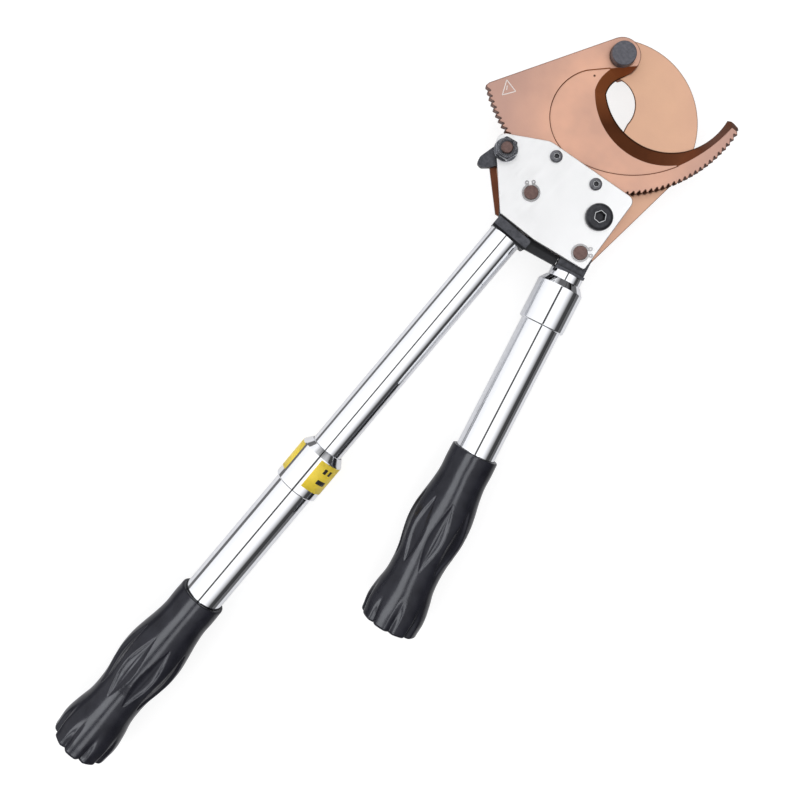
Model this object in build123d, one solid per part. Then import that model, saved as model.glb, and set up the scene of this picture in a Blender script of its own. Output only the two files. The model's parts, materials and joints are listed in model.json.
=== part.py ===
"""Ratchet cable cutter with two telescopic handles, in millimetres.

The origin is on the blades' pivot axis at the height of the face it rests on.
+Y runs from the fixed handle's grip towards the blades, +Z is up, out of the front plate.
"""

import os
from math import atan2, cos, degrees, hypot, radians, sin

from build123d import *

os.makedirs("parts", exist_ok=True)

# heights of the layers
MID_Z = 27.0
PLATE_T = 5.0
BLADE_T = 10.0
REAR_Z = MID_Z - BLADE_T - PLATE_T
FIXED_Z = MID_Z - BLADE_T
FRONT_Z = MID_Z + BLADE_T
TOP_Z = FRONT_Z + PLATE_T
SLIP = 0.05

# blades
PIVOT_R = 8.0
LUG_R = 15.5
CREST_R = 116.0
ROOT_R = 112.7
TOOTH_DEG = 2.5
TOOTH_START = 232.5
TOOTH_COUNT = 54
CREST_FLAT_DEG = 0.35
TAIL_DEG = 231.5
RECESS_DEPTH = 0.8
RECESS_SLOPE = 42.0
SIDE_LOW = (4.0, -166.8)
SIDE_HIGH = (-25.0, -140.0)
SIDE_CHAMFER = 5.0
PUNCH_MARK = (-7.0, -27.5)
DISC_C = (30.4, -45.9)
DISC_R = 71.7
BOSS_R = 16.5

# fasteners and pivots on the head
CORNER = (-23.3, -123.2)
HANDLE_PIN = (15.2, -136.8)
SWING_PIN = (78.2, -148.7)
CLAMP = (71.0, -116.2)
GUIDES = [(11.9, -100.6), (51.5, -97.2)]
CORNER_R = 5.0
WASHER_T = 2.0
NUT_HEX_T = 8.5
NUT_T = 11.5
BUSH_R = 6.5
PIN_R = 6.0
CLAMP_R = 6.0
DRIVE_PIVOT = (46.0, -118.0)
DRIVE_PIN_R = 3.0
TIP_R = 114.65
CHECK_WALL_DEG = 270.0
CHECK_DIP = 6.0
DRIVE_WALL_DEG = 302.5
DRIVE_DIP = 8.0

# telescopic handles
LEFT_X = 22.6
LEFT_FACE_Y = -177.0
RIGHT_DEG = 12.95
RIGHT_FACE = 19.0
INNER_R = 14.5
INNER_BORE = 12.5
INNER_LEN = 300.0
OUTER_R = 17.5
OUTER_BORE = 15.5
COLLAR_R = 20.0
COLLAR_LEN = 42.0
SHOW_LEN = 120.0
GRIP_LEN = 161.0
GRIP_END_T = 8.0
LOBES = 9
COLLET_Y = 4.0
COLLET_LEN = 8.0
GUIDE_LEN = 50.0
SPIGOT_LEN = 40.0
LEFT_COLLAR_Y = -231.5
RIGHT_COLLAR_Y = -6.5


def polar(radius, angle):
    return (radius * cos(radians(angle)), radius * sin(radians(angle)))


def rod(place, radius, low, high):
    return Pos(place[0], place[1], (low + high) / 2) * Cylinder(radius, high - low)


def slab(edges, low, high):
    return Pos(0, 0, low) * extrude(make_face(edges), high - low)


def plate(points, low, high, rounds=()):
    """A flat plate with some of its corners rounded: rounds lists (corner number, radius)."""
    body = slab(Polyline(*points, close=True), low, high)
    for number, radius in rounds:
        x, y = points[number]
        edge = body.edges().filter_by(Axis.Z).sort_by_distance(Vector(x, y, low))[0]
        body = fillet(edge, radius)
    return body


def hexagon(place, across, low, high):
    outline = RegularPolygon(across / 2, 6, major_radius=False)
    return Pos(place[0], place[1], low) * extrude(outline, high - low)


def link(start, end, width, low, high):
    """A straight bar between two points."""
    dx, dy = end[0] - start[0], end[1] - start[1]
    turn = degrees(atan2(dy, dx))
    middle = ((start[0] + end[0]) / 2, (start[1] + end[1]) / 2, (low + high) / 2)
    return Location(middle, (0, 0, turn)) * Box(hypot(dx, dy), width, high - low)


def spun(points):
    """A solid of revolution about the handle's axis, from (radius, y) corners."""
    return Pos(0, 0, MID_Z) * revolve(make_face(Polyline(*points, close=True)), Axis.Y)


def pipe(outer, inner, near, far):
    return spun([(inner, near), (outer, near), (outer, far), (inner, far)])


def save(name, body, place=Location()):
    body = place * body
    body.label = name
    export_step(body, f"parts/{name}.step")


# ------------------------------------------------------------------ blades
def tail_corner():
    return polar(ROOT_R, TAIL_DEG)


def lug_tangent():
    """Where the tail's long edge touches the round lug."""
    x, y = tail_corner()
    reach = degrees(atan2(y, x))
    swing = degrees(atan2((ROOT_R**2 - LUG_R**2) ** 0.5, LUG_R))
    return polar(LUG_R, reach - swing)


def tooth_gaps(low, high):
    gaps = None
    for i in range(TOOTH_COUNT):
        face = TOOTH_START + TOOTH_DEG * i
        crest = polar(CREST_R + 0.02, face + CREST_FLAT_DEG)
        over = polar(CREST_R + 2, face + CREST_FLAT_DEG)
        root = polar(ROOT_R, face + TOOTH_DEG)
        top = polar(CREST_R + 2, face + TOOTH_DEG)
        gap = slab(Polyline(crest, over, top, root, close=True), low, high)
        gaps = gap if gaps is None else gaps + gap
    return gaps


def edge_cutter(low, high):
    """The ground cutting edge: sharp arc on the inner face, wide arc on the front face."""
    sharp = [
        Line((15.0, -4.0), (10.9, -13.8)),
        ThreePointArc((10.9, -13.8), (8.8, -22.0), (10.6, -30.6)),
        ThreePointArc((10.6, -30.6), (48.2, -45.4), (93.0, -23.1)),
        ThreePointArc((93.0, -23.1), (101.9, -3.6), (102.0, 22.0)),
        Line((102.0, 22.0), (60.0, 40.0)),
        Line((60.0, 40.0), (16.2, 12.0)),
        Line((16.2, 12.0), (15.0, -4.0)),
    ]
    wide = [
        Line((15.4, 1.6), (-1.2, -15.0)),
        ThreePointArc((-1.2, -15.0), (-2.6, -25.0), (0.0, -36.7)),
        ThreePointArc((0.0, -36.7), (47.0, -61.0), (94.2, -41.0)),
        ThreePointArc((94.2, -41.0), (105.0, -10.5), (108.2, 22.0)),
        Line((108.2, 22.0), (60.0, 40.0)),
        Line((60.0, 40.0), (16.2, 12.0)),
        Line((16.2, 12.0), (15.4, 1.6)),
    ]
    bottom = Pos(0, 0, low) * make_face(sharp)
    top = Pos(0, 0, high) * make_face(wide)
    below = Pos(0, 0, -1) * extrude(bottom, 1)
    return loft([bottom, top], ruled=True), below


def moving_blade():
    low, high = MID_Z + SLIP, FRONT_Z - SLIP
    tangent = lug_tangent()
    outline = [
        Line(tail_corner(), tangent),
        ThreePointArc(tangent, polar(LUG_R, 75), polar(LUG_R, 0)),
        Line(polar(LUG_R, 0), (100.0, 18.0)),
        Line((100.0, 18.0), (108.0, 18.4)),
        Line((108.0, 18.4), (112.8, 17.3)),
        Line((112.8, 17.3), polar(CREST_R, 6.4)),
        ThreePointArc(polar(CREST_R, 6.4), polar(CREST_R, -60), polar(CREST_R, TAIL_DEG + 0.9)),
        Line(polar(CREST_R, TAIL_DEG + 0.9), tail_corner()),
    ]
    body = slab(outline, low, high)
    ground, below = edge_cutter(low, high)
    body -= ground
    body -= below
    recess = [
        Line((-14.4, -28.4), (-1.2, -15.0)),
        Line((-1.2, -15.0), (40.0, -30.0)),
        Line((40.0, -30.0), (93.9, -41.0)),
        ThreePointArc((93.9, -41.0), (66.0, -73.6), (27.0, -90.6)),
        ThreePointArc((27.0, -90.6), (-22.3, -52.0), (-14.4, -28.4)),
    ]
    floor = Pos(0, 0, high - RECESS_DEPTH) * make_face(recess)
    body -= extrude(floor, 2 * RECESS_DEPTH, taper=-RECESS_SLOPE)
    body -= tooth_gaps(low - 1, high + 1)
    body -= rod((0, 0), PIVOT_R + SLIP, low - 1, high + 1)
    body -= rod(PUNCH_MARK, 0.8, high - 1.5, high + 1)
    tip_cut = Location((108.0, 15.6, high + 2.8), (-45, 0, 8)) * Box(30, 20, 8)
    return body - tip_cut


def throat_cutter():
    """The throat's ground wall: sharp on the inner face and set back below it."""
    sharp = [
        Line((36.0, -84.0), (44.5, -80.0)),
        Line((44.5, -80.0), (47.5, -71.3)),
        Line((47.5, -71.3), (40.0, -38.3)),
        ThreePointArc((40.0, -38.3), (31.5, -18.6), (11.5, -13.6)),
        Line((11.5, -13.6), (0.0, -30.0)),
        Line((0.0, -30.0), (36.0, -84.0)),
    ]
    back = [
        Line((36.0, -84.0), (47.0, -84.0)),
        Line((47.0, -84.0), (54.0, -71.3)),
        Line((54.0, -71.3), (46.5, -38.3)),
        ThreePointArc((46.5, -38.3), (35.5, -14.5), (13.5, -10.4)),
        Line((13.5, -10.4), (0.0, -30.0)),
        Line((0.0, -30.0), (36.0, -84.0)),
    ]
    top = Pos(0, 0, MID_Z) * make_face(sharp)
    bottom = Pos(0, 0, FIXED_Z) * make_face(back)
    return loft([bottom, top], ruled=True) + extrude(Pos(0, 0, FIXED_Z - 1) * make_face(back), 1)


def fixed_blade():
    cx, cy = DISC_C
    lean = degrees(atan2(-cy, -cx))
    boss_in = polar(BOSS_R, lean + 28)
    disc_in = (cx + DISC_R * cos(radians(lean - 3)), cy + DISC_R * sin(radians(lean - 3)))
    disc_top = (cx + DISC_R * cos(radians(40)), cy + DISC_R * sin(radians(40)))
    body = slab(
        [
            ThreePointArc(disc_in, disc_top, (101.9, -52.0)),
            Line((101.9, -52.0), (91.0, -156.5)),
            Line((91.0, -156.5), (70.0, -158.5)),
            Line((70.0, -158.5), (42.0, -161.5)),
            Line((42.0, -161.5), SIDE_LOW),
            Line(SIDE_LOW, SIDE_HIGH),
            Line(SIDE_HIGH, (-34.0, -123.0)),
            Line((-34.0, -123.0), (-31.0, -102.0)),
            Line((-31.0, -102.0), (36.0, -86.0)),
            ThreePointArc((36.0, -86.0), (44.6, -81.0), (47.5, -71.3)),
            Line((47.5, -71.3), (40.0, -38.3)),
            ThreePointArc((40.0, -38.3), (31.5, -18.6), (11.5, -13.6)),
            Line((11.5, -13.6), polar(BOSS_R, -80)),
            ThreePointArc(polar(BOSS_R, -80), polar(BOSS_R, 190), boss_in),
            Line(boss_in, disc_in),
        ],
        FIXED_Z,
        MID_Z,
    )
    middle = Vector((SIDE_LOW[0] + SIDE_HIGH[0]) / 2, (SIDE_LOW[1] + SIDE_HIGH[1]) / 2, MID_Z)
    side = body.faces().sort_by(Axis.Z)[-1].edges().sort_by_distance(middle)[0]
    body = chamfer(side, SIDE_CHAMFER)
    body -= throat_cutter()
    body -= rod((0, 0), PIVOT_R, FIXED_Z - 1, MID_Z + 1)
    return drilled(body, FIXED_Z, MID_Z)


def drilled(body, low, high):
    """The head's common holes: the corner bolt, both pins and the clamp screw."""
    body -= rod(CORNER, CORNER_R, low - 1, high + 1)
    body -= rod(HANDLE_PIN, PIN_R, low - 1, high + 1)
    body -= rod(SWING_PIN, PIN_R, low - 1, high + 1)
    return body - rod(CLAMP, CLAMP_R, low - 1, high + 1)


# ------------------------------------------------------------------ head
HEAD_OUTLINE = [(-40, -117), (0.5, -93.5), (85, -85.7), (89.8, -157.2), (42, -165), (7, -166)]
HEAD_ROUNDS = [(0, 8), (1, 18), (2, 6), (3, 2), (5, 2)]


def front_plate():
    body = plate(HEAD_OUTLINE, FRONT_Z, TOP_Z, HEAD_ROUNDS)
    rim = body.faces().sort_by(Axis.Z)[-1].edges()
    body = chamfer(rim, 0.5)
    body = drilled(body, FRONT_Z, TOP_Z)
    for place in GUIDES:
        body -= rod(place, 3.0, FRONT_Z - 1, TOP_Z + 1)
        body -= rod(place, 4.5, FRONT_Z - 1, FRONT_Z + 2.5)
    return body


def rear_plate():
    body = plate(HEAD_OUTLINE, REAR_Z, FIXED_Z, HEAD_ROUNDS)
    body = chamfer(body.faces().sort_by(Axis.Z)[0].edges(), 0.5)
    return drilled(body, REAR_Z, FIXED_Z)


def pivot_pin():
    head = chamfer(rod((0, 0), 10.2, FRONT_Z, FRONT_Z + 8.5).faces().sort_by(Axis.Z)[-1].edges(), 0.5)
    return head + rod((0, 0), PIVOT_R, 1.0, FRONT_Z)


def pivot_washer():
    return rod((0, 0), 14, FIXED_Z - 3, FIXED_Z) - rod((0, 0), PIVOT_R, 10, 20)


def pivot_nut():
    return hexagon((0, 0), 24, 0, FIXED_Z - 3) - rod((0, 0), PIVOT_R, -1, 20)


def corner_bolt():
    head = hexagon(CORNER, 16, REAR_Z - 6.4, REAR_Z)
    shank = rod(CORNER, CORNER_R, REAR_Z, TOP_Z + WASHER_T + NUT_T + 1)
    return head + chamfer(shank.faces().sort_by(Axis.Z)[-1].edges(), 0.8)


def corner_washer():
    return rod(CORNER, 10, TOP_Z, TOP_Z + WASHER_T) - rod(CORNER, CORNER_R, TOP_Z - 1, TOP_Z + WASHER_T + 1)


def corner_nut():
    low = TOP_Z + WASHER_T
    body = about(CORNER, 10) * hexagon(CORNER, 17, low, low + NUT_HEX_T)
    body += rod(CORNER, 7.6, low + NUT_HEX_T, low + NUT_T)
    body -= rod(CORNER, 6.3, low + NUT_T - 1.5, low + NUT_T + 1)
    return body - rod(CORNER, CORNER_R, low - 1, low + NUT_T + 1)


def socket_screw(place, head_r, head_h, shank_r, low, across, depth):
    head = rod(place, head_r, TOP_Z, TOP_Z + head_h)
    head = fillet(head.faces().sort_by(Axis.Z)[-1].edges(), head_h * 0.7)
    body = head + rod(place, shank_r, low, TOP_Z)
    return body - hexagon(place, across, TOP_Z + head_h - depth, TOP_Z + head_h + 1)


def guide_screws():
    screws = [socket_screw(p, 5.25, 3.3, 3.0, FRONT_Z + 2.5, 4, 2.2) for p in GUIDES]
    return Compound(children=screws)


def guide_pads():
    return Compound(children=[rod(p, 4.45, FRONT_Z, FRONT_Z + 2.5) for p in GUIDES])


def clamp_nut():
    return hexagon(CLAMP, 19, REAR_Z - 10.8, REAR_Z) - rod(CLAMP, CLAMP_R, -1, REAR_Z + 1)


def headed_pin(place):
    """A pin with a flat rear head and a groove for its retaining ring."""
    body = rod(place, 8, REAR_Z - 3, REAR_Z) + rod(place, PIN_R, REAR_Z, TOP_Z + 2.6)
    groove = rod(place, PIN_R + 1, TOP_Z + 0.1, TOP_Z + 1.2) - rod(place, 5.5, TOP_Z, TOP_Z + 2)
    return chamfer(body.faces().sort_by(Axis.Z)[-1].edges(), 0.5) - groove


def retaining_ring(place, turn):
    low, high = TOP_Z + 0.15, TOP_Z + 1.15
    body = rod((0, 0), 7.6, low, high)
    for side in (-1, 1):
        body += Pos(2.7 * side, 8.6, (low + high) / 2) * Cylinder(1.7, high - low)
        body += Pos(2.7 * side, 6.8, (low + high) / 2) * Box(2.6, 3.2, high - low)
    body -= rod((0, 0), 5.55, low - 1, high + 1)
    body -= Pos(0, 8, (low + high) / 2) * Box(2.2, 9, 3)
    for side in (-1, 1):
        body -= rod((2.7 * side, 8.7), 0.8, low - 1, high + 1)
    return Location((place[0], place[1], 0), (0, 0, turn)) * body


def retaining_rings():
    return Compound(children=[retaining_ring(HANDLE_PIN, 44), retaining_ring(SWING_PIN, -47)])


# ------------------------------------------------------------------ ratchet
def coil(place, radius, wire, low, turns):
    """A small torsion spring's coil, its axis upright."""
    pitch = 2 * wire + 0.12
    path = Helix(pitch, pitch * turns, radius)
    section = Plane(origin=path @ 0, z_dir=path % 0) * Circle(wire)
    return Pos(place[0], place[1], low + wire) * sweep(section, path=path, is_frenet=True)


def about(place, turn):
    """A turn about an upright axis, in degrees."""
    x, y = place
    return Location((x, y, 0), (0, 0, turn)) * Location((-x, -y, 0))


def pawl_arm(pivot, wall_deg, back, dip, low, high):
    """A pawl's arm, drawn with its nose between two teeth, then lifted by the dip angle."""
    nose = [
        polar(TIP_R, wall_deg - 0.35),
        polar(TIP_R + 0.1, wall_deg - 0.75),
        polar(CREST_R + 0.75, wall_deg - 2.25),
    ]
    return about(pivot, -dip) * slab(Polyline(*nose, *back, close=True), low, high)


def check_pawl():
    low, high = MID_Z + SLIP, MID_Z + 6.0
    back = [(-9.0, -117.0), (-17.0, -116.6), (-20.0, -132.0), (-6.0, -127.5), (0.0, -119.0)]
    arm = pawl_arm(CORNER, CHECK_WALL_DEG, back, CHECK_DIP, low, high)
    tab_outline = [
        (-24.5, -131.8), (-30.8, -124.6), (-33.2, -127.2), (-36.4, -139.8),
        (-35.2, -145.8), (-30.2, -146.4), (-23.8, -140.8), (-20.6, -136.4),
    ]
    tab = plate(tab_outline, low, FRONT_Z - SLIP, [(3, 6), (4, 3), (5, 3)])
    body = rod(CORNER, 8.8, low, high) + arm + tab
    body -= rod(CORNER, 8.9, high, FRONT_Z + 1)
    return body - rod(CORNER, BUSH_R + SLIP, low - 1, FRONT_Z)


def check_pawl_bush():
    return rod(CORNER, BUSH_R, MID_Z, FRONT_Z) - rod(CORNER, CORNER_R, MID_Z - 1, FRONT_Z + 1)


def drive_pawl():
    low, high = MID_Z + 5.0, FRONT_Z - 0.1
    back = [polar(117.4, 297.5), (41.5, -113.3), (51.0, -122.2), (64.6, -103.5), polar(118.5, 302.6)]
    arm = pawl_arm(DRIVE_PIVOT, DRIVE_WALL_DEG, back, DRIVE_DIP, low, high)
    body = rod(DRIVE_PIVOT, 6.5, low, high - 2.5) + arm
    body -= rod(DRIVE_PIVOT, 6.6, high - 2.5, high + 1)
    return body - rod(DRIVE_PIVOT, DRIVE_PIN_R + SLIP, low - 1, high + 1)


def drive_pawl_pin():
    return rod(DRIVE_PIVOT, DRIVE_PIN_R, MID_Z + SLIP, FRONT_Z - 0.1)


# ------------------------------------------------------------------ handles
def fixed_handle_bracket():
    """Tang between the plates, shoulder block, spigot for the tube, and the stop bar."""
    tang = plate(
        [(8, -168), (25, -168), (25, -126), (9, -120), (-3, -130), (-3, -154)],
        MID_Z,
        FRONT_Z,
        [(2, 4), (3, 5), (4, 4)],
    )
    block = Pos(24.4, -172.2, MID_Z) * Box(33.8, 9.6, 29.0)
    block = chamfer(block.faces().sort_by(Axis.Y)[0].edges().filter_by(Axis.X), 2.0)
    block = fillet(block.edges().filter_by(Axis.Z), 1.6)
    neck = Pos(24.0, -167.0, MID_Z + 5) * Box(33.0, 1.6, 9.9)
    stop = plate([(40, -168.8), (68.45, -163.8), (69.0, -169.35), (40, -175.2)], MID_Z, FRONT_Z - 3)
    stop += plate([(38, -164), (68.0, -160.9), (68.6, -165.5), (38, -171)], MID_Z, MID_Z + 3)
    spigot = Pos(LEFT_X, LEFT_FACE_Y, 0) * spun([(0, 0), (INNER_BORE, 0), (INNER_BORE, -SPIGOT_LEN), (0, -SPIGOT_LEN)])
    body = tang + block + neck + stop + spigot
    body -= rod(HANDLE_PIN, PIN_R, MID_Z - 1, FRONT_Z + 1)
    return body - left_place() * tube_pin()


def moving_handle_head():
    """Swinging plate with the drive pawl's arm, thick shoulder and spigot."""
    low, high = MID_Z + SLIP, FRONT_Z - SLIP
    body = rod(SWING_PIN, 10.5, low, high)
    body += link(SWING_PIN, DRIVE_PIVOT, 12, low, high)
    body += rod(DRIVE_PIVOT, 7, low, high)
    body -= rod(DRIVE_PIVOT, 16, MID_Z + 4.9, FRONT_Z + 1)
    local = swing_place()
    web = Pos(0, -8.4, (low + high) / 2) * Box(24.6, 16.8, high - low)
    shoulder = Pos(0, -17.85, MID_Z) * Box(26.0, 2.3, 29.0)
    spigot = Pos(0, -RIGHT_FACE, 0) * spun([(0, 0), (INNER_BORE, 0), (INNER_BORE, -SPIGOT_LEN), (0, -SPIGOT_LEN)])
    body += local * (web + shoulder + spigot)
    body -= rod(SWING_PIN, PIN_R + SLIP, low - 1, high + 1)
    body -= rod(DRIVE_PIVOT, DRIVE_PIN_R, low - 1, high + 1)
    return body - right_place() * tube_pin()


def left_place():
    return Location((LEFT_X, LEFT_FACE_Y, 0))


def swing_place():
    return Location((SWING_PIN[0], SWING_PIN[1], 0), (0, 0, RIGHT_DEG))


def right_place():
    return swing_place() * Location((0, -RIGHT_FACE, 0))


def tube_pin():
    """The spring pin that holds the inner tube on its spigot."""
    return Pos(0, -5.0, MID_Z) * Cylinder(1.5, 2 * INNER_R - 1)


def inner_tube():
    return pipe(INNER_R, INNER_BORE, 0, -INNER_LEN) - tube_pin()


def guide_sleeve():
    """Nylon sleeve on the inner tube's far end: it runs in the outer tube and stops on the collet."""
    return pipe(OUTER_BORE - SLIP, INNER_R, -INNER_LEN + GUIDE_LEN, -INNER_LEN)


def outer_tube():
    near = -COLLET_Y - COLLET_LEN
    far = -COLLAR_LEN - SHOW_LEN - GRIP_LEN + GRIP_END_T
    return pipe(OUTER_R, OUTER_BORE, near, far)


def collet():
    near = -COLLET_Y
    body = pipe(17.0, INNER_R + SLIP, near, near - COLLET_LEN)
    return body - Pos(16, near - COLLET_LEN / 2, MID_Z) * Box(6, COLLET_LEN + 2, 1.6)


def collar():
    bore = OUTER_R + SLIP
    return spun(
        [
            (INNER_R + 0.3, 0),
            (COLLAR_R - 4.5, 0),
            (COLLAR_R, -6),
            (COLLAR_R, -COLLAR_LEN + 1),
            (COLLAR_R - 1, -COLLAR_LEN),
            (bore, -COLLAR_LEN),
            (bore, -COLLET_Y),
            (INNER_R + 0.3, -COLLET_Y),
        ]
    )


GRIP_RADII = [21.0, 21.2, 21.0, 22.4, 24.6, 26.4, 26.6, 25.0, 22.8, 22.0, 22.6, 25.2, 26.9, 26.0]


def grip():
    top = -COLLAR_LEN - SHOW_LEN
    step = (GRIP_LEN - 3) / (len(GRIP_RADII) - 1)
    skin = [(r, top - step * i) for i, r in enumerate(GRIP_RADII)]
    end = top - GRIP_LEN
    floor = end + GRIP_END_T
    outline = [
        Spline(*skin),
        Line(skin[-1], (22.0, end)),
        Line((22.0, end), (0, end)),
        Line((0, end), (0, floor)),
        Line((0, floor), (OUTER_R, floor)),
        Line((OUTER_R, floor), (OUTER_R, top)),
        Line((OUTER_R, top), skin[0]),
    ]
    body = Pos(0, 0, MID_Z) * revolve(make_face(outline), Axis.Y)
    for i in range(LOBES):
        spot = polar(29.0, 108 + 360 / LOBES * i)
        body -= Pos(spot[0], end + 4, MID_Z + spot[1]) * Rot(90, 0, 0) * Cylinder(4.0, 16)
    return body


def telescopic(side, place, slide):
    """All the pieces of one handle: place is the inner tube's end, slide the collar's top."""
    save(f"{side}_inner_tube", inner_tube(), place)
    save(f"{side}_tube_pin", tube_pin(), place)
    save(f"{side}_guide_sleeve", guide_sleeve(), place)
    sleeve = place * Location((0, slide, 0))
    save(f"{side}_outer_tube", outer_tube(), sleeve)
    save(f"{side}_collet", collet(), sleeve)
    save(f"{side}_collar", collar(), sleeve)
    save(f"{side}_grip", grip(), sleeve)


save("moving_blade", moving_blade())
save("fixed_blade", fixed_blade())
save("front_plate", front_plate())
save("rear_plate", rear_plate())
save("pivot_pin", pivot_pin())
save("pivot_washer", pivot_washer())
save("pivot_nut", pivot_nut())
save("corner_bolt", corner_bolt())
save("corner_washer", corner_washer())
save("corner_nut", corner_nut())
save("guide_screws", guide_screws())
save("guide_pads", guide_pads())
save("clamp_screw", socket_screw(CLAMP, 11.5, 6.5, CLAMP_R, REAR_Z - 10.0, 8, 4.5))
save("clamp_nut", clamp_nut())
save("fixed_handle_pin", headed_pin(HANDLE_PIN))
save("moving_handle_pin", headed_pin(SWING_PIN))
save("retaining_rings", retaining_rings())
save("check_pawl", check_pawl())
save("check_pawl_bush", check_pawl_bush())
save("check_pawl_spring", coil(CORNER, 7.7, 0.5, MID_Z + 6.1, 2.3))
save("drive_pawl", drive_pawl())
save("drive_pawl_pin", drive_pawl_pin())
save("drive_pawl_spring", coil(DRIVE_PIVOT, 4.2, 0.45, FRONT_Z - 2.5, 1.3))
save("fixed_handle_bracket", fixed_handle_bracket())
save("moving_handle_head", moving_handle_head())
telescopic("left", left_place(), LEFT_COLLAR_Y)
telescopic("right", right_place(), RIGHT_COLLAR_Y)
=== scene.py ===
"""Ratchet cable cutter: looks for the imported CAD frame."""

import json
import math

import bmesh
import bpy
from mathutils import Matrix, Vector


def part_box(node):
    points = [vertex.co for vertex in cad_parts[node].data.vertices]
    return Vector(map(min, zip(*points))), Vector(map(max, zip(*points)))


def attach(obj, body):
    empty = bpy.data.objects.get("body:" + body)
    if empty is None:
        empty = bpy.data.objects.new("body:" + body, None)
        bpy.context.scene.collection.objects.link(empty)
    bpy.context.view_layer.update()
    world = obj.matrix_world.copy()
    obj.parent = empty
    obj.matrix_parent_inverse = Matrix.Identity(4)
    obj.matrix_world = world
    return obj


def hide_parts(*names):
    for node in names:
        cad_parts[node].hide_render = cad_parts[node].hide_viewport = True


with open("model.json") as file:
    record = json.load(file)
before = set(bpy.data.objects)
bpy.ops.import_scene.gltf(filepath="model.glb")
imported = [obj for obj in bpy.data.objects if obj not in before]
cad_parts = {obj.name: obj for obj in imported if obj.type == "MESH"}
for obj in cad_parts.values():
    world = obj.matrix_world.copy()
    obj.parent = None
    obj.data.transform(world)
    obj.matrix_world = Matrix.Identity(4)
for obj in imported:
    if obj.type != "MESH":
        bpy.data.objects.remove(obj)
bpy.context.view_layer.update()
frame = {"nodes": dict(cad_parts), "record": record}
NODES = frame["nodes"]
BODY_OF = {n: b for b, names in frame["record"]["behaviour"]["bodies"].items() for n in names}
SLOT_OF = {s["node"]: s["material_slot"] for s in frame["record"]["subparts"]}

# the tool's own sizes, in metres, in the CAD frame
MID_Z = 0.027
FRONT_Z = 0.037
LEFT_X, LEFT_FACE = 0.0226, -0.177
SWING_PIN = Vector((0.0782, -0.1487, 0))
RIGHT_TURN, RIGHT_SHOULDER = math.radians(12.95), -0.019
LEFT_COLLAR, RIGHT_COLLAR = -0.2315, -0.0065
COLLAR_LEN, SHOW_LEN, GRIP_LEN = 0.042, 0.120, 0.161
GRIP_BORE, BORE_LEN, LIP_ROUND = 0.01755, GRIP_LEN - 0.008, 0.0012
END_ROUND, END_DEPTH, END_GAP = 0.003, 0.0028, 0.0002
GUIDE_HEAD_R = 0.00525
# where the coating changes tone, where the throat bevel gets a painted highlight, and the heights
# below which the castings get painted shade: centres, radii and heights in the same frame
BLADE_DISC = (0.030, -0.045)
BLADE_DISC_R, BLADE_FAR_R = 0.050, 0.092
THROAT_HIGHLIGHT = (0.002, -0.026)
THROAT_HIGHLIGHT_R, THROAT_SHADE_R = 0.012, 0.036
SHADOWED_Z, LIT_Z = 0.0343, 0.0362
# the yellow wrap; its two ends are in degrees round the collar, 0 is up
LABEL_R, LABEL_THICK = 0.02000, 0.00010
LABEL_TOP, LABEL_LEN = 0.0068, 0.0270
LABEL_START, LABEL_END = 8, 307
# the stage: the floor, the ray lengths over which its mirror image darkens, the sky and the lens
FLOOR_SIZE = 9
BOUNCE_NEAR, BOUNCE_FAR = 0.092, 0.112
SKY_STRENGTH, SKY_DIM = 1.36, 0.16
SKY_EDGE, SKY_END = 0.80, 0.90
SENSOR, LENS = 36, 40.9


# ---------------------------------------------------------------- materials
def split_xyz(tree, source):
    made = tree.nodes.new("ShaderNodeSeparateXYZ")
    tree.links.new(source, made.inputs[0])
    return made.outputs


def math_node(tree, operation, *sources):
    made = tree.nodes.new("ShaderNodeMath")
    made.operation = operation
    for place, source in enumerate(sources):
        tree.links.new(source, made.inputs[place])
    return made.outputs[0]


def map_range(tree, source, low, high, to_low, to_high):
    made = tree.nodes.new("ShaderNodeMapRange")
    ends = {"From Min": low, "From Max": high, "To Min": to_low, "To Max": to_high}
    for key, value in ends.items():
        made.inputs[key].default_value = value
    tree.links.new(source, made.inputs["Value"])
    return made.outputs["Result"]


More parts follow.
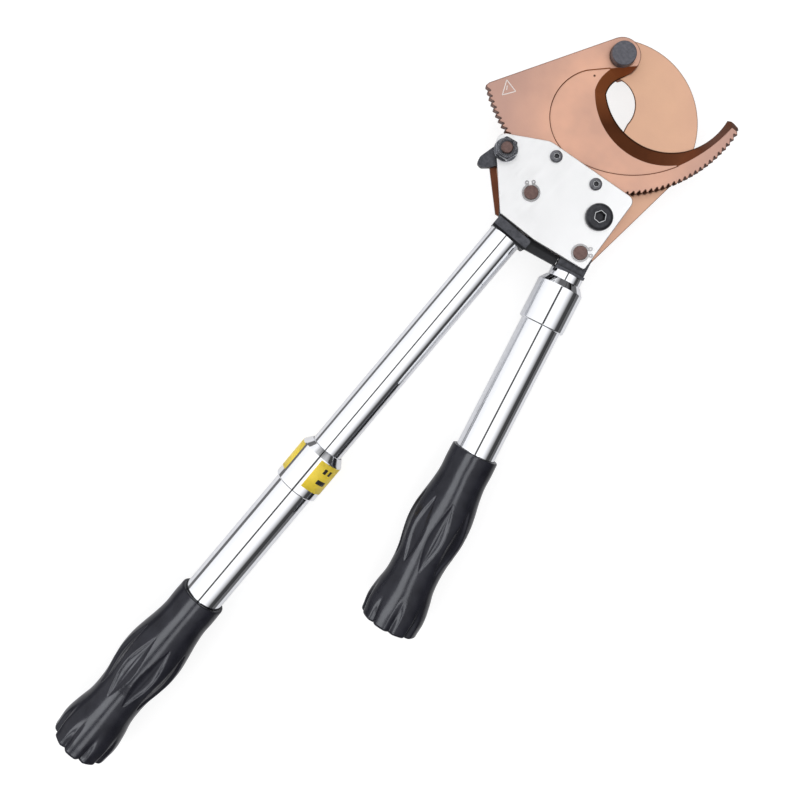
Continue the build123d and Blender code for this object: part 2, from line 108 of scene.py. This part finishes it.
class Shader:
    """A procedural material on object coordinates, so it stays with its piece."""

    def __init__(self, name, rough=0.4, metallic=0.0, colour=(0.5, 0.5, 0.5)):
        self.mat = bpy.data.materials.new(name)
        self.mat.use_nodes = True
        self.tree = self.mat.node_tree
        self.bsdf = self.tree.nodes["Principled BSDF"]
        self.bsdf.inputs["Metallic"].default_value = metallic
        self.bsdf.inputs["Roughness"].default_value = rough
        self.bsdf.inputs["Base Color"].default_value = (*colour, 1)
        self.coords = self.tree.nodes.new("ShaderNodeTexCoord").outputs["Object"]

    def node(self, kind, **values):
        made = self.tree.nodes.new(kind)
        for key, value in values.items():
            made.inputs[key.replace("_", " ")].default_value = value
        return made

    def link(self, source, target):
        self.tree.links.new(source, target)

    def height(self):
        return split_xyz(self.tree, self.coords)["Z"]

    def noise(self, scale, detail=4.0, stretch=(1, 1, 1), rough=0.55):
        mapping = self.node("ShaderNodeMapping")
        mapping.inputs["Scale"].default_value = stretch
        self.link(self.coords, mapping.inputs["Vector"])
        tex = self.node("ShaderNodeTexNoise", Scale=scale, Detail=detail, Roughness=rough)
        self.link(mapping.outputs["Vector"], tex.inputs["Vector"])
        return tex.outputs["Fac"]

    def ramp(self, source, low, high, to_low, to_high):
        return map_range(self.tree, source, low, high, to_low, to_high)

    def mix(self, factor, first, second, blend="MIX"):
        made = self.tree.nodes.new("ShaderNodeMix")
        made.data_type, made.blend_type = "RGBA", blend
        for socket, value in ((0, factor), (6, first), (7, second)):
            if isinstance(value, (tuple, list)):
                made.inputs[socket].default_value = (*value, 1)
            elif isinstance(value, (int, float)):
                made.inputs[socket].default_value = value
            else:
                self.link(value, made.inputs[socket])
        return made.outputs[2]

    def colour(self, source):
        self.link(source, self.bsdf.inputs["Base Color"])
        return self

    def roughness(self, source):
        self.link(source, self.bsdf.inputs["Roughness"])
        return self

    def bump(self, source, strength, distance):
        made = self.node("ShaderNodeBump", Strength=strength, Distance=distance)
        self.link(source, made.inputs["Height"])
        self.link(made.outputs["Normal"], self.bsdf.inputs["Normal"])
        return self

    def upright(self, low, high):
        """1 on faces that look along Z, 0 on bevels and side walls."""
        geometry = self.tree.nodes.new("ShaderNodeNewGeometry")
        along_z = split_xyz(self.tree, geometry.outputs["Normal"])["Z"]
        return self.ramp(math_node(self.tree, "ABSOLUTE", along_z), low, high, 0.0, 1.0)

    def open_to_light(self, distance, low=0.5, high=0.95, inside=False):
        """How much light reaches a point: 1 on open faces, 0 in sockets and grooves (along outer
        edges if inside is set); it masks painted shade and painted edge highlights.
        """
        made = self.node("ShaderNodeAmbientOcclusion", Distance=distance)
        made.samples, made.inside = 8, inside
        return self.ramp(made.outputs["AO"], low, high, 0.0, 1.0)

    def ring(self, centre, inner, outer):
        """1 inside a circle about a vertical axis, 0 outside it."""
        flattened = self.tree.nodes.new("ShaderNodeVectorMath")
        flattened.operation = "MULTIPLY"
        flattened.inputs[1].default_value = (1, 1, 0)
        self.link(self.coords, flattened.inputs[0])
        away = self.tree.nodes.new("ShaderNodeVectorMath")
        away.operation = "DISTANCE"
        away.inputs[1].default_value = (*centre, 0)
        self.link(flattened.outputs[0], away.inputs[0])
        return self.ramp(away.outputs["Value"], inner, outer, 1.0, 0.0)


def scaled(colour, factor):
    return tuple(c * factor for c in colour)


def coated_blade(name, face, far, side):
    """Ground steel under a thin copper-coloured hard coating; its bevels and side walls take the dark
    side colour as painted shade, with a painted highlight near the throat and painted shade along
    edges and under overlapping pieces.
    """
    m = Shader(name, metallic=0.72)
    cloud = m.ramp(m.noise(22.0, 3), 0.35, 0.65, 0.0, 0.5)
    base = m.mix(m.ring(BLADE_DISC, BLADE_DISC_R, BLADE_FAR_R), far, face)
    tint = m.mix(cloud, base, scaled(far, 0.88))
    # painted highlight: the bevel is lighter orange near the throat and fades to the painted wall
    # shade further out
    bevel_highlight = m.ring(THROAT_HIGHLIGHT, THROAT_HIGHLIGHT_R, THROAT_SHADE_R)
    streak = m.ramp(m.noise(45.0, 3), 0.3, 0.7, 0.0, 1.0)
    # painted shade: the side colour darkens bevels and side walls, streaked at random
    shaded_wall = m.mix(streak, side, scaled(side, 0.72))
    shaded_wall = m.mix(bevel_highlight, shaded_wall, tuple(c * k for c, k in zip(side, (2.3, 2.5, 2.6))))
    # faces that look along Z keep the coating; bevels and side walls take the painted wall shade
    whole = m.mix(m.upright(0.90, 0.985), shaded_wall, tint)
    # painted shade: dark lines along the outer edges, then a painted contact shadow in grooves and
    # where another piece stands over the face
    edge_shaded = m.mix(m.open_to_light(0.0013, 0.50, 0.88, True), scaled(side, 0.30), whole)
    m.colour(m.mix(m.open_to_light(0.0016), scaled(side, 0.22), edge_shaded))
    grain = m.noise(900.0, 3, (0.25, 1.0, 1.0))
    m.roughness(m.ramp(grain, 0.3, 0.7, 0.36, 0.47))
    return m.bump(grain, 0.10, 0.00004).mat


def plated(name, colour, low, high, scratch=0.04, edge_highlight=None):
    m = Shader(name, metallic=1.0)
    cloud = m.ramp(m.noise(35.0, 2), 0.3, 0.7, 0.0, 1.0)
    skin = m.mix(cloud, colour, scaled(colour, 0.965))
    # painted highlight: with edge_highlight given, outer edges are lightened where they would catch
    # the light
    m.colour(m.mix(m.open_to_light(0.0006, 0.50, 0.80, True), edge_highlight, skin) if edge_highlight else skin)
    grain = m.noise(420.0, 5, (1.0, 0.15, 1.0))
    m.roughness(m.ramp(grain, 0.3, 0.75, low, high))
    return m.bump(grain, scratch, 0.00003).mat


def casting(name, dark, light):
    m = Shader(name, metallic=0.35)
    cloud = m.ramp(m.noise(260.0, 6, rough=0.7), 0.38, 0.66, 0.0, 1.0)
    speck = m.ramp(m.noise(1500.0, 2), 0.66, 0.74, 0.0, 0.35)
    top = m.mix(speck, m.mix(cloud, dark, light), scaled(light, 2.6))
    # painted shade: below the lit height the casting darkens, as it lies in shadow under the front
    # plate
    shaded_low = m.mix(m.ramp(m.height(), SHADOWED_Z, LIT_Z, 0.0, 1.0), scaled(dark, 0.30), top)
    # painted shade on side walls
    skin = m.mix(m.upright(0.75, 0.96), scaled(dark, 0.30), shaded_low)
    # painted shade in recesses and next to other pieces
    m.colour(m.mix(m.open_to_light(0.003, 0.50, 0.95), scaled(dark, 0.22), skin))
    m.roughness(m.ramp(cloud, 0.0, 1.0, 0.52, 0.40))
    return m.bump(m.noise(900.0, 5), 0.35, 0.00025).mat


def oxide(name, colour, low, high, metallic=0.7, edge_highlight=None):
    m = Shader(name, metallic=metallic)
    cloud = m.ramp(m.noise(420.0, 4), 0.35, 0.65, 0.0, 1.0)
    skin = m.mix(cloud, colour, scaled(colour, 0.72))
    # painted highlight: with edge_highlight given, outer edges are lightened where they would catch
    # the light
    if edge_highlight:
        skin = m.mix(m.open_to_light(0.0007, 0.50, 0.85, True), edge_highlight, skin)
    # painted shade: the colour darkens to a tenth in sockets, grooves and under other pieces
    m.colour(m.mix(m.open_to_light(0.003, 0.35, 0.85), scaled(colour, 0.10), skin))
    m.roughness(m.ramp(m.noise(700.0, 3), 0.3, 0.7, low, high))
    return m.bump(m.noise(1800.0, 3), 0.08, 0.00005).mat


def rubber(name):
    m = Shader(name)
    cloud = m.ramp(m.noise(90.0, 4), 0.35, 0.65, 0.0, 1.0)
    m.colour(m.mix(cloud, (0.0045, 0.0045, 0.006), (0.007, 0.007, 0.009)))
    m.roughness(m.ramp(m.noise(160.0, 5), 0.3, 0.7, 0.17, 0.24))
    m.bsdf.inputs["Specular IOR Level"].default_value = 0.16
    return m.bump(m.noise(1400.0, 3), 0.07, 0.00006).mat


def plastic(name, colour):
    m = Shader(name)
    cloud = m.ramp(m.noise(150.0, 3), 0.3, 0.7, 0.0, 1.0)
    m.colour(m.mix(cloud, colour, scaled(colour, 0.9)))
    m.roughness(m.ramp(m.noise(500.0, 3), 0.3, 0.7, 0.38, 0.5))
    m.bsdf.inputs["Subsurface Weight"].default_value = 0.05
    m.bsdf.inputs["Subsurface Scale"].default_value = 0.001
    return m.bump(m.noise(1500.0, 2), 0.05, 0.00005).mat


def paint(name, colour, rough=0.42):
    m = Shader(name)
    cloud = m.ramp(m.noise(300.0, 3), 0.3, 0.7, 0.0, 1.0)
    m.colour(m.mix(cloud, colour, scaled(colour, 0.9)))
    return m.roughness(m.ramp(m.noise(800.0, 3), 0.3, 0.7, rough - 0.06, rough + 0.06)).mat


SLOTS = {
    # each blade's third colour is the painted shade of its bevels and side walls
    "blade_copper": coated_blade(
        "blade_copper", (0.80, 0.458, 0.325), (0.56, 0.340, 0.275), (0.175, 0.050, 0.015)
    ),
    "blade_tan": coated_blade(
        "blade_tan", (0.76, 0.465, 0.310), (0.74, 0.440, 0.310), (0.165, 0.048, 0.018)
    ),
    "plate_bright": plated("plate_bright", (0.97, 0.975, 0.98), 0.30, 0.38, 0.03),
    "tube_chrome": plated("tube_chrome", (0.84, 0.85, 0.87), 0.04, 0.09, 0.004),
    "cast_black": casting("cast_black", (0.040, 0.042, 0.050), (0.088, 0.090, 0.104)),
    "screw_black": oxide("screw_black", (0.045, 0.046, 0.052), 0.28, 0.40),
    # the last colour of pin_steel and zinc_steel is a painted highlight on their outer edges
    "pin_steel": oxide("pin_steel", (0.20, 0.130, 0.117), 0.28, 0.40, 0.9, (0.52, 0.48, 0.46)),
    "pivot_grey": oxide("pivot_grey", (0.135, 0.135, 0.155), 0.42, 0.55),
    "zinc_steel": plated("zinc_steel", (0.17, 0.175, 0.195), 0.14, 0.22, 0.01, (0.80, 0.81, 0.83)),
    "spring_steel": plated("spring_steel", (0.42, 0.43, 0.45), 0.25, 0.35),
    "ring_bright": plated("ring_bright", (0.50, 0.495, 0.50), 0.22, 0.30),
    "nylon": plastic("nylon", (0.78, 0.76, 0.68)),
    "grip_rubber": rubber("grip_rubber"),
}
YELLOW = paint("label_yellow", (0.97, 0.73, 0.06))
PRINT = paint("label_black", (0.022, 0.020, 0.018))
ETCH = paint("etch_white", (0.86, 0.80, 0.76), 0.6)
# a bright plated colour, painted as the highlight along socket rims
RIM_HIGHLIGHT = plated("painted_rim_highlight", (0.62, 0.63, 0.65), 0.25, 0.35)
SCREW_GREY = oxide("screw_grey", (0.17, 0.172, 0.185), 0.26, 0.36, 0.85)


# ---------------------------------------------------------------- meshes
def add_object(name, mesh, material, body):
    ob = bpy.data.objects.new(name, mesh)
    bpy.context.scene.collection.objects.link(ob)
    mesh.materials.clear()
    mesh.materials.append(material)
    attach(ob, body)
    return ob


def softened(node, width, segments=2, angle=28.0):
    """The node's own shape with its sharp edges rounded off, so they catch the light."""
    bm = bmesh.new()
    bm.from_mesh(NODES[node].data)
    bmesh.ops.remove_doubles(bm, verts=bm.verts, dist=2e-6)
    bmesh.ops.dissolve_limit(bm, angle_limit=math.radians(0.6), verts=bm.verts, edges=bm.edges)
    mesh = bpy.data.meshes.new(f"{node}_soft")
    bm.to_mesh(mesh)
    bm.free()
    ob = add_object(f"{node}_soft", mesh, SLOTS[SLOT_OF[node]], BODY_OF[node])
    bevel = ob.modifiers.new("edges", "BEVEL")
    bevel.width, bevel.segments = width, segments
    bevel.limit_method, bevel.angle_limit = "ANGLE", math.radians(angle)
    bevel.use_clamp_overlap, bevel.harden_normals = True, False
    for polygon in mesh.polygons:
        polygon.use_smooth = True
    weighted = ob.modifiers.new("normals", "WEIGHTED_NORMAL")
    weighted.keep_sharp = True
    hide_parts(node)
    return ob


def smooth(x, low, high):
    t = min(1.0, max(0.0, (x - low) / (high - low)))
    return t * t * (3 - 2 * t)


GRIP_RADII = [21.0, 21.2, 21.0, 22.4, 24.6, 26.4, 26.6, 25.0, 22.8, 22.0, 22.6, 25.2, 26.9, 26.0]
LEAVES, LOBES = 9, 9


def spline(values, t):
    """Catmull-Rom through evenly spaced values."""
    x = min(len(values) - 1.0001, max(0.0, t * (len(values) - 1)))
    i, f = int(x), x - int(x)
    at = lambda k: values[min(len(values) - 1, max(0, k))]
    a, b, c, d = at(i - 1), at(i), at(i + 1), at(i + 2)
    return b + 0.5 * f * (c - a + f * (2 * a - 5 * b + 4 * c - d + f * (3 * (b - c) + d - a)))


def grip_radius(t, turn, first):
    """The rubber's outside: pointed leaves pressed into the bulge, lobes round the end.

    t runs from 0 at the lip to 1 at the closed end, turn is in degrees, first is the turn of
    the first leaf. Radii are in millimetres until the last line.
    """
    radius = spline(GRIP_RADII, t) - 0.25
    low, high = 0.27, 0.665
    if low < t < high:
        s = (t - low) / (high - low)
        width = 14.5 * math.sin(math.pi * s ** 1.15) ** 0.85
        step = 360.0 / LEAVES
        away = abs((turn - first + step / 2) % step - step / 2)
        if away < width:
            scoop = 1.0 - (away / width) ** 2
            radius -= 2.3 * scoop ** 0.75 * math.sin(math.pi * s) ** 0.5
            radius += 0.28 * math.exp(-((away / 1.6) ** 2)) * math.sin(math.pi * s)
    step = 360.0 / LOBES
    away = abs((turn - first + step / 2) % step - step / 2)
    notch = max(0.0, 1.0 - away / 9.5)
    radius -= 3.1 * notch ** 1.3 * smooth(t, 0.80, 1.0)
    return radius / 1000


def grip_mesh(name, first):
    around, along = 192, 220
    length = GRIP_LEN - END_ROUND
    rings = []
    for y in (BORE_LEN, 0.10, 0.05, 0.004, 0.0008):
        rings.append([(GRIP_BORE, y)] * around)
    lip = grip_radius(0, 0, first)
    for k in range(1, 6):
        a = math.pi / 2 * k / 6
        out, down = LIP_ROUND * math.cos(a), LIP_ROUND * math.sin(a)
        rings.append([(GRIP_BORE + LIP_ROUND - out, LIP_ROUND - down)] * around)
    rings.append([(lip - LIP_ROUND, 0.0)] * around)
    for k in range(1, 5):
        a = math.pi / 2 * k / 5
        out, down = LIP_ROUND * math.sin(a), LIP_ROUND * math.cos(a)
        rings.append([(lip - LIP_ROUND + out, LIP_ROUND - down)] * around)
    for j in range(along + 1):
        t = 0.012 + (1 - 0.012) * j / along
        rings.append([(grip_radius(t, 360.0 * i / around, first), t * length) for i in range(around)])
    edge = [grip_radius(1.0, 360.0 * i / around, first) for i in range(around)]
    for k in range(1, 7):
        a = math.pi / 2 * k / 6
        pull, down = END_ROUND * (1 - math.cos(a)), END_DEPTH * math.sin(a)
        rings.append([(r - pull, length + down) for r in edge])
    for share in (0.7, 0.4, 0.15):
        rings.append([((r - END_ROUND) * share, GRIP_LEN - END_GAP) for r in edge])
    verts, faces = [], []
    for ring in rings:
        for i, (r, y) in enumerate(ring):
            a = math.radians(360.0 * i / around)
            verts.append((r * math.sin(a), -y, r * math.cos(a)))
    for j in range(len(rings) - 1):
        for i in range(around):
            k = (i + 1) % around
            faces.append((j * around + i, j * around + k, (j + 1) * around + k, (j + 1) * around + i))
    for ring, y, flip in ((0, -BORE_LEN, True), (len(rings) - 1, -GRIP_LEN + END_GAP, False)):
        centre = len(verts)
        verts.append((0, y, 0))
        for i in range(around):
            k = (i + 1) % around
            a, b = ring * around + i, ring * around + k
            faces.append((b, a, centre) if flip else (a, b, centre))
    mesh = bpy.data.meshes.new(name)
    mesh.from_pydata(verts, [], faces)
    bm = bmesh.new()
    bm.from_mesh(mesh)
    bmesh.ops.recalc_face_normals(bm, faces=bm.faces)
    bm.to_mesh(mesh)
    bm.free()
    for polygon in mesh.polygons:
        polygon.use_smooth = True
    return mesh


LEFT_PLACE = Matrix.Translation((LEFT_X, LEFT_FACE, MID_Z))
RIGHT_PLACE = (
    Matrix.Translation((SWING_PIN.x, SWING_PIN.y, MID_Z))
    @ Matrix.Rotation(RIGHT_TURN, 4, "Z")
    @ Matrix.Translation((0, RIGHT_SHOULDER, 0))
)


def band(name, place, near, far, radius, thick, start, end, material, body):
    """A curved strip on a tube, from one angle to another (0 is up)."""
    steps = max(6, int((end - start) / 3))
    bm = bmesh.new()
    grid = []
    for i in range(steps + 1):
        a = math.radians(start + (end - start) * i / steps)
        column = []
        for r in (radius, radius + thick):
            for y in (near, far):
                column.append(bm.verts.new(place @ Vector((r * math.sin(a), y, r * math.cos(a)))))
        grid.append(column)
    for a, b in zip(grid, grid[1:]):
        for p, q in ((0, 1), (1, 3), (3, 2), (2, 0)):
            bm.faces.new((a[p], a[q], b[q], b[p]))
    for column in (grid[0], grid[-1]):
        bm.faces.new((column[0], column[1], column[3], column[2]))
    bmesh.ops.recalc_face_normals(bm, faces=bm.faces)
    mesh = bpy.data.meshes.new(name)
    bm.to_mesh(mesh)
    bm.free()
    for polygon in mesh.polygons:
        polygon.use_smooth = len(polygon.vertices) == 4 and polygon.area > 1e-9
    return add_object(name, mesh, material, body)


def strip_marks(name, lines, width, z, material, body):
    """Flat bars lying on a face, for etched marks and for painted rim highlights: each line is (x, y,
    x, y) in metres.
    """
    bm = bmesh.new()
    for x0, y0, x1, y1 in lines:
        along = Vector((x1 - x0, y1 - y0, 0)).normalized()
        side = Vector((-along.y, along.x, 0)) * width / 2
        first, last = Vector((x0, y0, 0)), Vector((x1, y1, 0))
        ends = [first - side, last - side, last + side, first + side]
        low = [bm.verts.new(v + Vector((0, 0, z - 0.00005))) for v in ends]
        top = [bm.verts.new(v + Vector((0, 0, z + 0.00002))) for v in ends]
        bm.faces.new(top)
        bm.faces.new(low[::-1])
        for k in range(4):
            n = (k + 1) % 4
            bm.faces.new((low[k], low[n], top[n], top[k]))
    mesh = bpy.data.meshes.new(name)
    bm.to_mesh(mesh)
    bm.free()
    return add_object(name, mesh, material, body)


# every CAD piece takes its slot's material
for node, ob in NODES.items():
    for slot in ob.material_slots:
        slot.material = SLOTS[SLOT_OF[node]]

EDGES = {
    "moving_blade": 0.00025,
    "fixed_blade": 0.0003,
    "fixed_handle_bracket": 0.0009,
    "moving_handle_head": 0.0009,
    "check_pawl": 0.0006,
    "clamp_screw": 0.0002,
    "guide_screws": 0.00015,
    "corner_nut": 0.00035,
    "corner_washer": 0.0002,
    "pivot_nut": 0.0005,
    "clamp_nut": 0.0004,
    "pivot_washer": 0.0003,
    "retaining_rings": 0.00012,
    "left_collar": 0.0005,
    "right_collar": 0.0005,
    "drive_pawl": 0.0003,
}
for node, width in EDGES.items():
    soft = softened(node, width)
    if node == "guide_screws":
        soft.data.materials[0] = SCREW_GREY

GRIPS = bpy.data.collections.new("grips")
# each grip's first leaf lies at its own angle round the tube, in degrees from the top
LEFT_GRIP = ("left", LEFT_PLACE, LEFT_COLLAR, -19)
RIGHT_GRIP = ("right", RIGHT_PLACE, RIGHT_COLLAR, 2)
for side, place, start, first in (LEFT_GRIP, RIGHT_GRIP):
    mesh = grip_mesh(f"{side}_grip_skin", first)
    mesh.transform(place @ Matrix.Translation((0, start - COLLAR_LEN - SHOW_LEN, 0)))
    ob = add_object(f"{side}_grip_skin", mesh, SLOTS["grip_rubber"], f"{side}_sleeve")
    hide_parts(f"{side}_grip")
    GRIPS.objects.link(ob)

# the collar's plain yellow wrap with generic black bars, open at the top left of the tube
wrap = LEFT_COLLAR - LABEL_TOP
band(
    "left_label", LEFT_PLACE, wrap, wrap - LABEL_LEN, LABEL_R, LABEL_THICK, LABEL_START, LABEL_END,
    YELLOW, "left_twist",
)
for k, (near, far, a, b) in enumerate(
    [(0.0042, 0.0088, 30, 39), (0.0042, 0.0088, 46, 54), (0.0150, 0.0190, 32, 60)]
):
    band(
        f"left_label_bar{k}", LEFT_PLACE, wrap - near, wrap - far, LABEL_R + 0.00008, 0.00006, a, b,
        PRINT, "left_twist",
    )

# a plain etched triangle beside the tail's long edge
tri = [(-0.0605, -0.0772), (-0.0552, -0.0892), (-0.0486, -0.0798)]
marks = [(*tri[k], *tri[(k + 1) % 3]) for k in range(3)]
marks.append((-0.0572, -0.0806, -0.0550, -0.0838))
strip_marks("blade_triangle", marks, 0.0007, FRONT_Z - 0.00005, ETCH, "blade")


def hex_rim(x, y, across):
    """The six edges of a socket's mouth."""
    corner = across / math.sqrt(3)
    turns = [math.radians(60 * k) for k in range(6)]
    spots = [(x + corner * math.cos(a), y + corner * math.sin(a)) for a in turns]
    return [(*spots[k], *spots[(k + 1) % 6]) for k in range(6)]


# bright strips round a socket's mouth: a painted highlight where the rim catches the light
def highlight_rim(name, x, y, across, top, width):
    strip_marks(name, hex_rim(x, y, across), width, top, RIM_HIGHLIGHT, "head")


low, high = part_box("clamp_screw")
highlight_rim("clamp_rim_highlight", (low[0] + high[0]) / 2, (low[1] + high[1]) / 2, 0.0088, high[2], 0.0005)
low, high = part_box("guide_screws")
highlight_rim("guide_rim_highlight_a", low[0] + GUIDE_HEAD_R, low[1] + GUIDE_HEAD_R, 0.0044, high[2], 0.0003)
highlight_rim("guide_rim_highlight_b", high[0] - GUIDE_HEAD_R, high[1] - GUIDE_HEAD_R, 0.0044, high[2], 0.0003)


# ---------------------------------------------------------------- stage
def flat(name, size, place, material, turn=(0, 0, 0)):
    mesh = bpy.data.meshes.new(name)
    x, y = size[0] / 2, size[1] / 2
    mesh.from_pydata([(-x, -y, 0), (x, -y, 0), (x, y, 0), (-x, y, 0)], [], [(0, 1, 2, 3)])
    mesh.materials.append(material)
    ob = bpy.data.objects.new(name, mesh)
    ob.location, ob.rotation_euler = place, turn
    bpy.context.scene.collection.objects.link(ob)
    return ob


def glowing(name, colour, strength):
    m = Shader(name, rough=0.9, colour=colour)
    m.bsdf.inputs["Emission Color"].default_value = (1, 1, 1, 1)
    m.bsdf.inputs["Emission Strength"].default_value = strength
    return m


# the camera sees a pale floor; the piece is lit by, and mirrors, a greyer one just under it
floor = glowing("floor_pale", (0.30, 0.30, 0.30), 0.79)
seen = flat("floor", (FLOOR_SIZE, FLOOR_SIZE), (0, -0.3, 0), floor.mat)
seen.visible_glossy = seen.visible_diffuse = False
grey = glowing("floor_grey", (0.66, 0.66, 0.68), 0.24)
# the near part of the grey floor brightens the tubes; its far part mirrors as their dark edge
path = grey.tree.nodes.new("ShaderNodeLightPath")
reach = grey.ramp(path.outputs["Ray Length"], BOUNCE_NEAR, BOUNCE_FAR, 1.0, 0.10)
grey.colour(grey.mix(reach, (0.05, 0.05, 0.05), (0.66, 0.66, 0.68)))
shine = grey.ramp(reach, 0.10, 1.0, 0.03, 0.24)
grey.link(shine, grey.bsdf.inputs["Emission Strength"])
flat("floor_bounce", (FLOOR_SIZE, FLOOR_SIZE), (0, -0.3, -0.0005), grey.mat).visible_camera = False

# two long softboxes over the bench with a narrow dark gap, and a dark room beyond them:
# each pair is an angle from straight up, in degrees towards +X, and its brightness
LEVELS = [(-90, 0.80), (-40, 0.95), (-6.0, 1.0), (-4.8, 0.05), (2.6, 0.05),
          (3.8, 1.0), (30, 0.96), (42, 0.80), (60, 0.34), (68, 0.05), (90, 0.04)]


def studio_world():
    world = bpy.data.worlds.new("studio")
    world.use_nodes = True
    tree = world.node_tree
    direction = split_xyz(tree, tree.nodes.new("ShaderNodeTexCoord").outputs["Generated"])
    lean = math_node(tree, "ARCTAN2", direction["X"], direction["Z"])
    ramp = tree.nodes.new("ShaderNodeValToRGB")
    tree.links.new(map_range(tree, lean, -math.pi / 2, math.pi / 2, 0.0, 1.0), ramp.inputs["Fac"])
    elements = ramp.color_ramp.elements
    while len(elements) > 1:
        elements.remove(elements[-1])
    for number, (angle, level) in enumerate(LEVELS):
        place = (angle + 90) / 180
        element = elements[0] if number == 0 else elements.new(place)
        element.position, element.color = place, (level, level, min(1.0, level * 1.02), 1)
    back = tree.nodes["Background"]
    tree.links.new(ramp.outputs["Color"], back.inputs["Color"])
    aside = math_node(tree, "ABSOLUTE", direction["Y"])
    fade = map_range(tree, aside, SKY_EDGE, SKY_END, SKY_STRENGTH, SKY_DIM)
    tree.links.new(fade, back.inputs["Strength"])
    # a pale room behind the floor, seen by the camera only
    pale = tree.nodes.new("ShaderNodeBackground")
    pale.inputs["Color"].default_value = (0.93, 0.93, 0.94, 1)
    choice = tree.nodes.new("ShaderNodeMixShader")
    camera_ray = tree.nodes.new("ShaderNodeLightPath").outputs["Is Camera Ray"]
    tree.links.new(camera_ray, choice.inputs["Fac"])
    tree.links.new(back.outputs["Background"], choice.inputs[1])
    tree.links.new(pale.outputs["Background"], choice.inputs[2])
    tree.links.new(choice.outputs["Shader"], tree.nodes["World Output"].inputs["Surface"])
    return world


scene = bpy.context.scene
scene.world = studio_world()


def grip_light(name, x, width, power):
    """A long softbox that lights the rubber grips only."""
    light = bpy.data.lights.new(name, "AREA")
    light.shape, light.size, light.size_y, light.energy = "RECTANGLE", width, 3.0, power
    light.color = (0.92, 0.95, 1.0)
    ob = bpy.data.objects.new(name, light)
    ob.location = (x, -0.5, 1.3)
    scene.collection.objects.link(ob)
    ob.light_linking.receiver_collection = GRIPS


grip_light("grip_left", -0.52, 0.72, 72)
grip_light("grip_right", 0.30, 0.34, 30)

scene.view_settings.view_transform = "Standard"
camera = bpy.data.cameras.new("camera")
camera.sensor_width, camera.lens = SENSOR, LENS
camera.shift_x, camera.shift_y = -0.0378, -0.1244
camera_ob = bpy.data.objects.new("camera", camera)
camera_ob.location = (0.0089, -0.2582, 0.791)
camera_ob.rotation_euler = (0, 0, math.radians(40.1))
scene.collection.objects.link(camera_ob)
scene.camera = camera_ob
